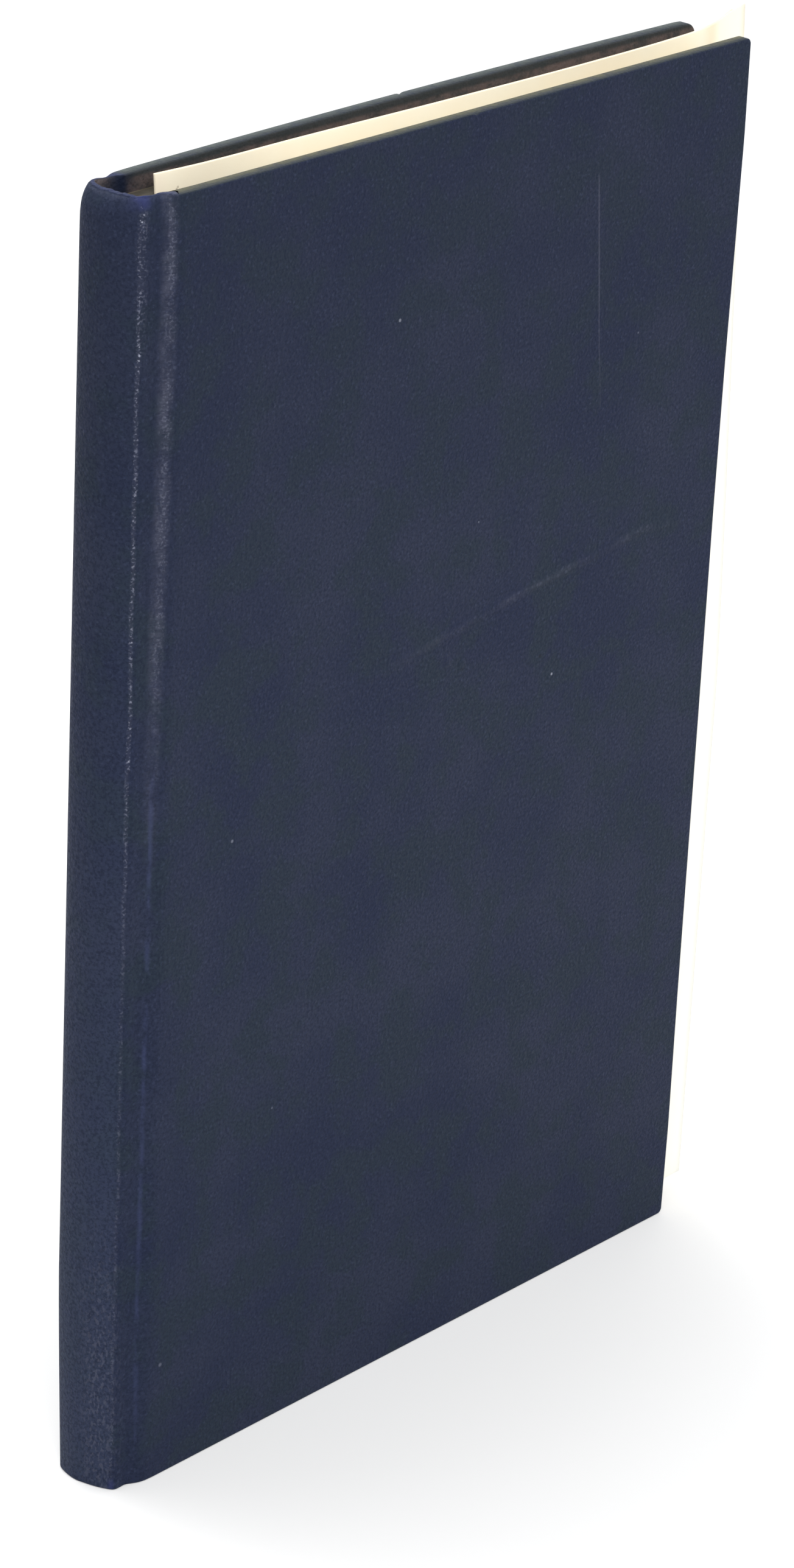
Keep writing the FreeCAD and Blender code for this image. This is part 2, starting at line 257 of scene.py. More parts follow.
class Covering:
    """Plan paths of the whole covering, from the back fore edge to the front one."""

    def __init__(self):
        self.middle, self.tail, self.head = (
            smooth_path([row[k] for row in WRAP], WRAP_STEPS) for k in range(3))
        depths = [(row[3], 0.0) for row in WRAP]
        self.depth = smooth_path(depths, WRAP_STEPS)[:, 0]
        self.back, self.front = fore_stations("back"), fore_stations("front")
        before = len(self.back[0])
        self.seam = before + SEAM * WRAP_STEPS
        path = np.vstack([self.back[0], self.middle, self.front[0]])
        run = np.concatenate([[0], np.cumsum(np.linalg.norm(np.diff(path, axis=0), axis=1))])
        start = WRAP[0][0][0]
        self.from_front = start + run - run[before + len(self.middle) - 1]
        self.from_back = start + run[before] - run
        self.ridge = self.from_front[before + RIDGE * WRAP_STEPS]
        self.edge = np.concatenate([self.back[2], np.zeros(len(self.middle)), self.front[2]])

    def faces_at(self, z):
        pinch = np.clip((z - HEIGHT + PINCH) / PINCH, 0, 1) ** PINCH_POWER
        foot = np.clip((FOOT - z) / FOOT, 0, 1) ** FOOT_POWER
        wrap = self.middle + (self.tail - self.middle) * foot + (self.head - self.middle) * pinch
        inside = wrap + inward_normals(wrap) * self.depth[:, None]
        joint = wrap[:, 0] > self.middle[RIDGE * WRAP_STEPS, 0]
        low = joint & (inside[:, 1] < THICKNESS / 2)
        high = joint & (inside[:, 1] > THICKNESS / 2)
        above_pages = smoothstep(z, HEIGHT - SQUARE, HEIGHT - SQUARE / 2)
        limit = INNER_LIMIT + HEAD_PLAY * above_pages
        inside[low, 1] = np.minimum(inside[low, 1], limit)
        inside[high, 1] = np.maximum(inside[high, 1], THICKNESS - limit)
        outer = np.vstack([self.back[0], wrap, self.front[0]])
        return outer, np.vstack([self.back[1], inside, self.front[1]])


covering = Covering()


def round_corners(points):
    """Rounds the fore corners of the covers, seen from their sides."""
    middle = HEIGHT / 2
    radius = np.where(points[:, 1] < THICKNESS / 2, CORNERS["front"], CORNERS["back"])
    x = points[:, 0] - (FORE_EDGE - radius)
    z = np.abs(points[:, 2] - middle) - (middle - radius)
    both = (x > 0) & (z > 0)
    away = radius[both]
    shrink = np.maximum(x[both], z[both]) / np.hypot(x[both], z[both])
    points[both, 0] = FORE_EDGE - away + x[both] * shrink
    up = np.sign(points[both, 2] - middle)
    points[both, 2] = middle + up * (middle - away + z[both] * shrink)
    return points


# How far each cover's fore edge stands out at some heights, and how far the back one's
# head edge bows up.

FORE_WAVER = {
    "front": ([0, 18, 45, 100, 137, 165, 205, 222], [0.35, 0.62, 0.42, 0.3, 0.16, 0.3, 0.92, 0.7]),
    "back": ([0, 120, 190, 222], [0.1, 0.1, 0.4, 1.15]),
}
HEAD_BOW = 0.5


def bend_covers(points):
    x, y, z = points.T
    outward = smoothstep(x, FORE_EDGE - 30, FORE_EDGE)
    front = y < THICKNESS / 2
    wavers = [np.interp(z, *FORE_WAVER[side]) for side in ("front", "back")]
    points[:, 0] += outward * np.where(front, *wavers)
    bow = HEAD_BOW * np.sin(math.pi * np.clip(x / FORE_EDGE, 0, 1))
    bow *= smoothstep(z, HEIGHT - 20, HEIGHT)
    points[:, 2] += np.where(front, 0.0, bow)
    return points


RIM_DIP = 0.08
NICK_DEPTH = 0.28


def wear_rim(points):
    """Lets the worn head of the spine dip and waver a little, and nicks the board edges."""
    x, y, z = points.T
    on_spine = smoothstep(-x, -1.5, 1.0) * smoothstep(z, HEIGHT - 6, HEIGHT)
    waver = 0.07 * np.sin(1.9 * y + 0.6) + 0.05 * np.sin(4.7 * y + 2.0)
    points[:, 2] -= on_spine * (RIM_DIP + waver).clip(0, None) * smoothstep(-y, -13.0, -8.0)
    for face, where in ((0.0, NICKS["front"]), (THICKNESS, NICKS["back"])):
        near = np.exp(-((x - where) / 0.45) ** 2) * np.exp(-((y - face) / 0.9) ** 2)
        points[:, 2] -= NICK_DEPTH * near * smoothstep(z, HEIGHT - 1.5, HEIGHT)
    return points


def cover_levels(step):
    near = np.array([0.7, 0.9, 1.2, 1.6, 2.2, 3.0, 4.0, 5.2, 6.5, 8.0, 10.0])
    return spaced(EDGE_ROUND, HEIGHT - EDGE_ROUND, step, np.concatenate([near, HEIGHT - near]))


def covering_piece(name, first, last, along):
    def faces_at(z):
        outer, inner = covering.faces_at(z)
        return outer[first:last], inner[first:last]

    def reshape(points):
        return bend_covers(wear_rim(round_corners(points)))

    return shell(name, faces_at, cover_levels(2.0), 0.0, HEIGHT, EDGE_ROUND,
                 covering.edge[first:last], reshape, along[first:last])


# Each cover's cloth and pasted paper has its transform baked into its mesh.


def across_joint(obj):
    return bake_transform(obj)


def front_cloth(material):
    total = len(covering.from_front)
    obj = covering_piece("front_and_spine_cloth", covering.seam, total, covering.from_front)
    obj.data.materials.append(material)
    add_marks(obj)
    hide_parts("front_cover_cloth", "spine_cloth")
    return across_joint(obj)


def back_cloth(material):
    obj = covering_piece("back_cloth", 0, covering.seam + 1, covering.from_back)
    obj.data.materials.append(material)
    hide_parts("back_cover_cloth")
    return across_joint(obj)


# Marks on the front cover, in bench millimetres on its face: a long crease, and a scratch.

CREASE = [(12.5, 130.4), (33.0, 128.7), (67.6, 133.8), (86.3, 136.4), (103.2, 138.2), (117.6, 139.8),
          (128.6, 138.5)]
SCRATCH = [(205.6, 99.2), (186.7, 101.0), (176.8, 101.9), (165.8, 103.3)]


def add_marks(obj):
    """Stores how far each point is above the crease, to the right of the scratch and in
    from the front cover's face."""
    rest = np.empty(len(obj.data.vertices) * 3, np.float32)
    obj.data.attributes["rest"].data.foreach_get("vector", rest)
    x, y, z = rest.reshape(-1, 3).T
    crease_x, crease_z = zip(*CREASE)
    above = z - np.interp(x, crease_x, crease_z)
    scratch_z, scratch_x = zip(*SCRATCH[::-1])
    beside = x - np.interp(z, scratch_z, scratch_x)
    layer = obj.data.attributes.new("marks", "FLOAT_VECTOR", "POINT")
    layer.data.foreach_set("vector", np.column_stack([above, beside, y]).astype(np.float32).ravel())


# Card strip inside the spine: its first and last lines of WRAP, and where its faces lie
# through the cloth's depth.

CARD_LINES = (SEAM + 3, RIDGE)
CARD_DEPTHS = (0.35, 0.75)


def spine_card(material):
    low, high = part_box("spine_inlay")
    first, last = (len(covering.back[0]) + line * WRAP_STEPS for line in CARD_LINES)

    def faces_at(z):
        outer, inner = covering.faces_at(z)
        face = outer[first:last]
        across = inner[first:last] - face
        return [face + across * depth for depth in CARD_DEPTHS]

    top = high.z / MM - 1.0
    levels = spaced(low.z / MM + 0.3, top - 0.2, 3.0, HEIGHT - np.array([2.0, 3.0, 4.0, 6.0, 8.0]))
    obj = shell("spine_card", faces_at, levels, low.z / MM, top, 0.1)
    obj.data.materials.append(material)
    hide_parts("spine_inlay")
    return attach(obj, "book_block")


# Pasted halves of the endpapers, let down over the turn-ins and across each joint.

TURN_IN = 15.0
TURN_IN_EASE = 0.7
SINK = 0.14
UNDER_SINK = 0.3
IN_JOINT = 2.06
PASTED_RIM = 0.06


def past_turn_in(depth):
    """0 over a turn-in, 1 past its edge, by the distance from the cover's edge."""
    return smoothstep(depth, TURN_IN - TURN_IN_EASE, TURN_IN + TURN_IN_EASE)


def pastedown(side, material):
    name = side + "_pastedown"
    turn_ins = TURN_IN + np.linspace(-0.8, 0.8, 5)
    x = spaced(PAGES_SPINE, PAGES_FORE, 2.0, np.concatenate([
        np.linspace(PAGES_SPINE, 3.5, 22), FORE_EDGE - turn_ins]))
    rise = COVER - 0.05
    lift = IN_JOINT + (rise - IN_JOINT) * smoothstep(x, 1.9, 2.6)

    def faces_at(z):
        window = smoothstep(x, 2.6, 4.0) * past_turn_in(FORE_EDGE - x)
        window *= past_turn_in(z) * past_turn_in(HEIGHT - z)
        face = lift + PAPER + 0.02 - SINK * window
        under = lift - UNDER_SINK * window
        inner, outer = np.column_stack([x, face]), np.column_stack([x, under])
        if side == "back":
            inner[:, 1] = THICKNESS - inner[:, 1]
            outer[:, 1] = THICKNESS - outer[:, 1]
            return outer[::-1], inner[::-1]
        return outer, inner

    levels = spaced(SQUARE + PASTED_RIM, HEIGHT - SQUARE - PASTED_RIM, 3.0,
                    np.concatenate([turn_ins, HEIGHT - turn_ins]))
    obj = shell(name + "_sheet", faces_at, levels, SQUARE, HEIGHT - SQUARE, PASTED_RIM)
    obj.data.materials.append(material)
    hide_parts(name)
    return across_joint(obj)


# The loose cream leaf: one sheet folded in half, its fold towards the spine. Plan of its
# middle at its tail edge and at its head edge. The first LEAF_FREE points lie between the
# covers, where the head springs free over SPRING, and the rest curls up from CURL_FOOT.

LEAF_X = np.array([6.85, 12.4, 38.4, 71.0, 106.0, 126.0, 132.5, 139.3, 146.9, 152.2])
LEAF_TAIL = np.array([9.35, 9.14, 8.37, 7.85, 7.8, 8.0, 8.1, 8.2, 8.25, 8.3])
LEAF_HEAD = np.array([9.75, 9.25, 8.75, 7.9, 7.55, 8.05, 8.5, 9.9, 12.9, 14.2])
LEAF_FREE = 7
TAIL_TIP = 151.2
LEAF_HALF = 0.25
LEAF_PLY = 0.21
LEAF_RIM = 0.05
SPRING = 6.0
CURL_FOOT = 100.0
CURL_POWER = 1.15
LEAF_STEP = 2.0


def smooth_through(x, knots, values):
    """A smooth curve through the values at the knots, as its value at each x."""
    slopes = np.gradient(values, knots)
    k = np.clip(np.searchsorted(knots, x) - 1, 0, len(knots) - 2)
    width = knots[k + 1] - knots[k]
    t = (x - knots[k]) / width
    start = (1 + 2 * t) * (1 - t) ** 2 * values[k] + t * (1 - t) ** 2 * width * slopes[k]
    return start + t * t * (3 - 2 * t) * values[k + 1] - t * t * (1 - t) * width * slopes[k + 1]


def leaf_centre(z):
    """Plan of the leaf at a height: between the pages it is free near the head, and past
    them it curls away from the front cover towards the head."""
    free = np.clip((z - HEIGHT + SPRING) / SPRING, 0, 1) ** 2
    curl = np.clip((z - CURL_FOOT) / (HEIGHT - CURL_FOOT), 0, 1) ** CURL_POWER
    share = np.where(np.arange(len(LEAF_X)) < LEAF_FREE, free, curl)
    tip = TAIL_TIP + (LEAF_X[-1] - TAIL_TIP) * curl
    x = np.linspace(LEAF_X[0], tip, int((LEAF_X[-1] - LEAF_X[0]) / LEAF_STEP))
    return np.column_stack([x, smooth_through(x, LEAF_X, LEAF_TAIL + (LEAF_HEAD - LEAF_TAIL) * share)])


def leaf_faces(z):
    """The outer and inner faces of both plies, from the rear fore edge round the fold."""
    centre = leaf_centre(z)
    normal = inward_normals(centre)
    turn = np.linspace(math.pi / 2, 3 * math.pi / 2, 9)[1:-1]
    fold = np.stack([np.cos(turn), np.sin(turn)], axis=1)
    faces = []
    for r in (LEAF_HALF, LEAF_HALF - LEAF_PLY):
        rear, front = centre + normal * r, centre - normal * r
        faces.append(np.vstack([rear[::-1][2:], centre[0] + fold * r, front]))
    return faces


def loose_leaf(material):
    levels = spaced(0.08, HEIGHT - 0.08, 3.5, HEIGHT - np.array([0.5, 1.0, 2.0, 3.0, 4.5, 6.0]))
    obj = shell("folded_leaf", leaf_faces, levels, 0.0, HEIGHT, LEAF_RIM)
    obj.data.materials.append(material)
    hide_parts("loose_leaf")
    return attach(obj, "book_block")


# Materials

def srgb(red, green, blue):
    """A colour as it looks on screen, 0 to 255, as the shader's linear one."""
    def linear(value):
        value /= 255
        return value / 12.92 if value <= 0.04045 else ((value + 0.055) / 1.055) ** 2.4
    return (linear(red), linear(green), linear(blue), 1.0)


class Paint:
    """A material, with short calls that add its nodes and return their outputs."""

    def __init__(self, name):
        self.material = bpy.data.materials.new(name)
        self.material.use_nodes = True
        self.tree = self.material.node_tree
        self.shader = self.tree.nodes["Principled BSDF"]

    def feed(self, socket, value):
        if isinstance(value, bpy.types.NodeSocket):
            self.tree.links.new(value, socket)
        else:
            socket.default_value = value

    def add(self, kind, values, output=0, **settings):
        node = self.tree.nodes.new(kind)
        for key, value in settings.items():
            setattr(node, key, value)
        for key, value in values.items():
            self.feed(node.inputs[key], value)
        return node.outputs[output]

    def attribute(self, name):
        vector = self.add("ShaderNodeAttribute", {}, "Vector", attribute_name=name)
        return vector, self.split(vector)

    def split(self, vector):
        node = self.tree.nodes.new("ShaderNodeSeparateXYZ")
        self.feed(node.inputs[0], vector)
        return [node.outputs[k] for k in range(3)]

    def object_mm(self):
        """The piece's own coordinates in millimetres."""
        node = self.tree.nodes.new("ShaderNodeTexCoord")
        return self.scaled(node.outputs["Object"], (1000, 1000, 1000))

    def scaled(self, vector, factors):
        return self.add("ShaderNodeVectorMath", {0: vector, 1: factors}, operation="MULTIPLY")

    def math(self, operation, a, b=0.0):
        return self.add("ShaderNodeMath", {0: a, 1: b}, operation=operation)

    def product(self, *values):
        result = values[0]
        for value in values[1:]:
            result = self.math("MULTIPLY", result, value)
        return result

    def most(self, *values):
        result = values[0]
        for value in values[1:]:
            result = self.math("MAXIMUM", result, value)
        return result

    def step(self, value, low, high, bottom=0.0, top=1.0):
        """Rises smoothly from bottom to top as value goes from low to high."""
        if low > high:
            low, high, bottom, top = high, low, top, bottom
        inputs = {"Value": value, "From Min": low, "From Max": high, "To Min": bottom, "To Max": top}
        return self.add("ShaderNodeMapRange", inputs, interpolation_type="SMOOTHSTEP")

    def away(self, value, centre):
        return self.math("ABSOLUTE", self.math("SUBTRACT", value, centre))

    def near(self, value, centre, width):
        """1 where value is at centre, down to 0 a width away."""
        return self.step(self.away(value, centre), width, 0.0)

    def noise(self, vector, scale, detail=3.0, roughness=0.55):
        inputs = {"Vector": vector, "Scale": scale, "Detail": detail, "Roughness": roughness}
        return self.add("ShaderNodeTexNoise", inputs)

    def cells(self, vector, scale):
        return self.add("ShaderNodeTexVoronoi", {"Vector": vector, "Scale": scale}, feature="F1")

    def spot(self, vector, centre, radius):
        """1 at a point, down to 0 a radius away from it."""
        away = self.add("ShaderNodeVectorMath", {0: vector, 1: centre}, "Value", operation="DISTANCE")
        return self.step(away, radius, 0.3 * radius)

    def mix(self, factor, a, b):
        return self.add("ShaderNodeMix", {0: factor, 6: a, 7: b}, 2, data_type="RGBA")

    def bump(self, height, depth, under=None):
        """Raises the surface by up to depth millimetres where height is 1."""
        inputs = {"Height": height, "Distance": depth * MM}
        if under is not None:
            inputs["Normal"] = under
        return self.add("ShaderNodeBump", inputs)

    def finish(self, colour, roughness, normal, specular=0.4):
        self.feed(self.shader.inputs["Base Color"], colour)
        self.feed(self.shader.inputs["Roughness"], roughness)
        self.feed(self.shader.inputs["Normal"], normal)
        self.shader.inputs["Specular IOR Level"].default_value = specular
        return self.material


NAVY = srgb(34, 41, 63)
NAVY_LIGHT = srgb(42, 48, 67)
NAVY_GREEN = srgb(36, 46, 58)
NAVY_DEEP = srgb(24, 30, 47)
# Painted light: the lit navy of the lower spine and of the raised pebble tops.
NAVY_LIT = srgb(52, 60, 82)
# Painted shade: the shaded side of the covers' head edges, and a band under the head inside.
EDGE_SHADED = srgb(42, 47, 50)
WORN_BLUE = srgb(45, 51, 92)
JOINT_BLUE = srgb(70, 78, 116)
# Scuff grey, also used for a painted highlight on the pebbles near the tail.
SCUFF_AND_HIGHLIGHT_GREY = srgb(88, 90, 106)
SCUFF_PALE = srgb(128, 132, 152)
SCUFF_WHITE = srgb(178, 182, 198)
# Painted light: the lit side of the covers' head edges, olive on the front cover, grey on the back.
HEAD_EDGE_LIT = {"front": srgb(80, 80, 66), "back": srgb(74, 80, 79)}
TURN_BROWN = srgb(80, 71, 71)
TURN_BLACK = srgb(56, 55, 57)


def leathercloth(side):
    """Navy leathercloth. The front one has the scuffed ridge and joint, crease and scratch.
    Each point knows its bench place (rest), how far along the cloth from its cover's spine
    edge it is, and its place through the sheet: 0 outside, 0.5 on a rim and 1 inside."""
    p = Paint(side + "_leathercloth")
    rest, (x, y, z) = p.attribute("rest")
    _, (along, _, inside) = p.attribute("cloth")
    grain = p.cells(rest, 2.1)
    fine = p.noise(rest, 1.9, 5.0, 0.7)
    pebble = p.cells(rest, 1.15)
    broad = p.noise(rest, 0.035, 3.0)
    weave = p.noise(p.scaled(rest, (0.9, 0.9, 2.6)), 1.6, 2.0)
    tinge = p.noise(rest, 0.09, 4.0, 0.6)
    colour = p.mix(p.step(broad, 0.35, 0.65), NAVY, NAVY_LIGHT)
    colour = p.mix(p.product(p.step(tinge, 0.45, 0.6), 0.85), colour, NAVY_GREEN)
    # Painted shade: the cloth darker towards the head.
    colour = p.mix(p.product(p.step(z, 120, HEIGHT), 0.3), colour, NAVY_DEEP)
    # Painted light: the spine lighter towards the tail.
    on_spine = p.step(along, covering.ridge + 0.5, covering.ridge - 1.0)
    colour = p.mix(p.product(on_spine, p.step(z, 190, 10, 0.1, 0.65)), colour, NAVY_LIT)
    colour = p.mix(p.product(p.step(fine, 0.44, 0.62), 0.6), colour, NAVY_DEEP)
    # Painted highlight and shade of the grain: raised pebble tops lighter than their valleys.
    raised = p.product(p.step(pebble, 0.44, 0.2), p.step(fine, 0.55, 0.4), 0.45)
    colour = p.mix(raised, colour, NAVY_LIT)
    colour = p.mix(p.product(p.step(weave, 0.55, 0.72), 0.22), colour, NAVY_LIGHT)
    rim = p.step(p.away(inside, 0.5), 0.4, 0.12)
    on_cover = p.step(along, 1.0, 4.0)
    at_head = p.step(z, HEIGHT - 2.0, HEIGHT - 0.4)
    patchy = p.step(p.noise(rest, 0.5, 4.0), 0.3, 0.62)
    face = {"front": 0.0, "back": THICKNESS - COVER}[side]
    # Painted light and shade on the top faces of the covers at the head: shaded towards the front of the
    # book, lit towards the back.
    edge = p.mix(p.step(y, face + 0.2, face + COVER - 0.4), EDGE_SHADED, HEAD_EDGE_LIT[side])
    colour = p.mix(p.product(rim, on_cover, at_head, p.step(patchy, 0.0, 1.0, 0.6, 1.0)), colour, edge)
    off_cover = p.step(along, 4.0, 1.0)
    near_joint = p.near(along, covering.ridge - 0.2, 3.4)
    below_rim = p.product(near_joint, p.step(z, HEIGHT - 2.5, HEIGHT - 0.9), 0.7)
    worn = p.most(below_rim, p.product(rim, p.step(z, HEIGHT - 1.2, HEIGHT - 0.3), 0.3))
    fold = p.product(off_cover, worn, p.step(inside, 0.8, 0.5))
    colour = p.mix(p.product(fold, p.step(patchy, 0.0, 1.0, 0.4, 1.0)), colour, WORN_BLUE)
    blotch = p.step(p.noise(rest, 0.3, 6.0, 0.7), 0.42, 0.62)
    lining = p.mix(blotch, TURN_BROWN, TURN_BLACK)
    # Painted shade: a dark band on the inner face just under the head edge.
    lining = p.mix(p.product(p.step(z, HEIGHT - 1.1, HEIGHT - 0.4), on_cover, 0.9), lining, EDGE_SHADED)
    lining = p.mix(p.near(along, 1.5, 4.5), lining, NAVY_DEEP)
    colour = p.mix(p.step(inside, 0.55, 0.8), colour, lining)
    if side == "front":
        colour = front_wear(p, colour, rest, x, z, along, grain, pebble)
    tail_tip = p.product(p.near(along, covering.ridge, 1.0), p.step(z, 2.6, 1.0))
    colour = p.mix(p.product(tail_tip, 0.7), colour, WORN_BLUE)
    roughness = p.step(fine, 0.3, 0.7, 0.5, 0.66)
    height = p.math("ADD", p.product(fine, 0.6), p.product(pebble, -0.5))
    normal = p.bump(p.math("ADD", p.product(grain, 0.4), height), 0.14)
    if side == "front":
        normal = front_dents(p, normal, rest, x)
    return p.finish(colour, roughness, normal, specular=0.07)


# Specks on the front cover: place, radius and colour. The two pimples' places.

SPECKS = [((91.7, 123.4), 0.5, srgb(24, 26, 34)), ((95.0, 119.2), 0.35, SCUFF_WHITE),
          ((52.4, 191.4), 0.4, srgb(150, 154, 168)), ((18.3, 112.0), 0.4, srgb(130, 134, 150)),
          ((5.4, 21.2), 0.5, srgb(110, 114, 132)), ((30.0, 60.0), 0.3, srgb(110, 114, 132)),
          ((112.0, 176.0), 0.25, srgb(120, 124, 140)), ((74.0, 152.0), 0.25, srgb(120, 124, 140))]
BUMPS = [(68.0, 128.7), (71.7, 127.4)]


def front_wear(p, colour, rest, x, z, along, grain, pebble):
    """Rubbed ridge and joint, scratch, crease and specks of the front cloth, and a painted highlight on
    the pebbles beside the ridge near the tail.
    """
    _, (crease, scratch, depth) = p.attribute("marks")
    on_face = p.step(depth, 0.6, 0.2)
    wobble = p.step(p.noise(p.scaled(rest, (0, 0, 1)), 0.06), 0.0, 1.0, -0.5, 0.5)
    from_ridge = p.math("SUBTRACT", p.math("SUBTRACT", along, covering.ridge), wobble)
    speckle = p.noise(rest, 2.4, 2.0, 0.5)
    dots = p.step(speckle, 0.5, 0.62)
    clusters = p.step(p.noise(p.scaled(rest, (0, 0, 1)), 0.4, 2.0), 0.36, 0.6, 0.3, 1.0)
    sparks = p.step(p.noise(p.scaled(rest, (0, 0, 1)), 0.12, 3.0), 0.46, 0.62)
    line = p.product(p.near(from_ridge, 0.0, 0.5), p.step(z, 221.0, 219.8))
    spread = p.product(p.near(from_ridge, 0.3, 1.3), p.step(z, 192, 210), 0.5)
    fade = p.step(z, 85, 150, 0.35, 1.0)
    scuffed = p.product(p.most(line, spread), fade, p.step(z, 221.0, 219.0))
    colour = p.mix(p.product(scuffed, 0.14), colour, SCUFF_AND_HIGHLIGHT_GREY)
    colour = p.mix(p.product(scuffed, dots, clusters, 0.55), colour, SCUFF_PALE)
    bright = p.step(speckle, 0.6, 0.68)
    colour = p.mix(p.product(line, bright, sparks, p.step(z, 105, 150), 0.7), colour, SCUFF_WHITE)
    threads = p.noise(p.scaled(rest, (0.35, 0.35, 3.4)), 1.0, 3.0, 0.6)
    rubbed = p.step(p.noise(p.scaled(rest, (1, 1, 0.35)), 0.5, 4.0), 0.36, 0.62)
    from_joint = p.math("SUBTRACT", along, p.step(z, 115, 210, 0.35, 1.15))
    band = p.product(p.near(from_joint, 0.0, 2.0), p.step(z, 96, 160),
                     p.step(threads, 0.3, 0.65, 0.5, 1.0))
    colour = p.mix(p.product(band, p.step(rubbed, 0, 1, 0.4, 0.95), 0.45), colour, SCUFF_AND_HIGHLIGHT_GREY)
    grains = p.product(p.near(from_joint, 0.3, 1.6), p.step(z, 110, 165), p.step(speckle, 0.5, 0.66))
    colour = p.mix(p.product(grains, p.step(rubbed, 0, 1, 0.3, 0.8), 0.36), colour, SCUFF_PALE)
    low_line = p.product(p.near(from_joint, 0.2, 0.7), p.step(z, 150, 120), p.step(z, 4, 10), rubbed)
    colour = p.mix(p.product(low_line, 0.28), colour, JOINT_BLUE)
    scored = p.product(p.near(scratch, 0.0, 0.28), on_face, p.step(z, 166, 190, 0.25, 1.0),
                       p.step(z, 163, 166), p.step(z, 206.5, 204.5), p.step(grain, 0.1, 0.42, 0.4, 1.0))
    colour = p.mix(p.product(scored, 0.42), colour, SCUFF_AND_HIGHLIGHT_GREY)
    # Painted highlight: pebble tops lit in a band beside the ridge near the tail, in the scuff grey.
    tops = p.step(p.noise(p.scaled(rest, (1.5, 1.5, 0.8)), 1.5, 2.0, 0.5), 0.5, 0.64)
    pebbles = p.product(p.near(along, covering.ridge - 2.5, 5.5), p.step(z, 60, 25), tops)
    colour = p.mix(p.product(pebbles, 0.38), colour, SCUFF_AND_HIGHLIGHT_GREY)
    ridged = p.step(p.noise(p.scaled(rest, (1, 0, 1)), 0.1, 4.0, 0.6), 0.42, 0.62, 0.12, 1.0)
    fold = p.product(p.near(crease, 0.0, 1.15), on_face, ridged, p.step(x, 48, 72, 0.14, 1.0),
                     p.step(x, 130, 118), p.step(x, 8, 14), p.step(pebble, 0.53, 0.2, 0.35, 1.0))
    colour = p.mix(p.product(fold, 0.3), colour, SCUFF_AND_HIGHLIGHT_GREY)
    for (px, pz), radius, tone in SPECKS:
        speck = p.product(p.spot(rest, (px, 0.0, pz), radius), 0.5)
        colour = p.mix(speck, colour, tone)
    return colour


def front_dents(p, normal, rest, x):
    """The crease stands up a little, and two pimples lie under the cloth beside it."""
    _, (crease, _, depth) = p.attribute("marks")
    on_face = p.step(depth, 0.6, 0.2)
    raised = p.product(p.near(crease, 0.0, 1.4), on_face, p.step(x, 48, 72, 0.3, 0.8),
                       p.step(x, 131, 120))
    for px, pz in BUMPS:
        raised = p.most(raised, p.spot(rest, (px, 0.0, pz), 1.2))
    return p.bump(raised, 0.16, normal)


def endpaper(name, from_rest=False):
    """Uncoated paper, toned by age, with a faint cloudy look and fine fibres. Its rims are
    deeper in tone, and painted shade darkens it at the head by the spine."""
    p = Paint(name)
    place_mm = p.attribute("rest")[0] if from_rest else p.object_mm()
    light, dark = srgb(227, 216, 189), srgb(220, 207, 178)
    cloud = p.noise(place_mm, 0.06, 8.0, 0.7)
    fibre = p.noise(p.scaled(place_mm, (1.0, 1.0, 2.2)), 1.4, 5.0, 0.65)
    fleck = p.step(p.noise(place_mm, 0.9, 2.0), 0.7, 0.76)
    colour = p.mix(p.step(cloud, 0.35, 0.68), light, dark)
    colour = p.mix(p.product(fleck, 0.25), colour, dark)
    x, _, z = p.split(place_mm)
    bench_x = 0.0 if from_rest else BENCH.x / MM
    near_spine = p.step(x, bench_x + 26, bench_x + 10)
    # Painted shade at the head by the spine.
    endpaper_head_shade = p.product(p.step(z, HEIGHT - 9, HEIGHT - SQUARE - 0.5), near_spine,
                      p.step(cloud, 0.2, 0.6, 0.8, 1.0))
    rims = p.most(p.step(z, HEIGHT - 12, HEIGHT - SQUARE), p.step(z, 12, SQUARE))
    colour = p.mix(p.product(rims, 0.4), colour, srgb(190, 170, 132))
    colour = p.mix(endpaper_head_shade, colour, srgb(66, 60, 50))
    normal = p.bump(fibre, 0.02)
    return p.finish(colour, p.step(fibre, 0.3, 0.7, 0.72, 0.84), normal, 0.25)


# Places of a small dark mark on the leaf near the head.
LEAF_DARK_MARK = [(10.6, 218.6), (10.8, 218.95), (11.05, 219.25)]
LEAF_DARK_MARK_DEPTH = 9.0


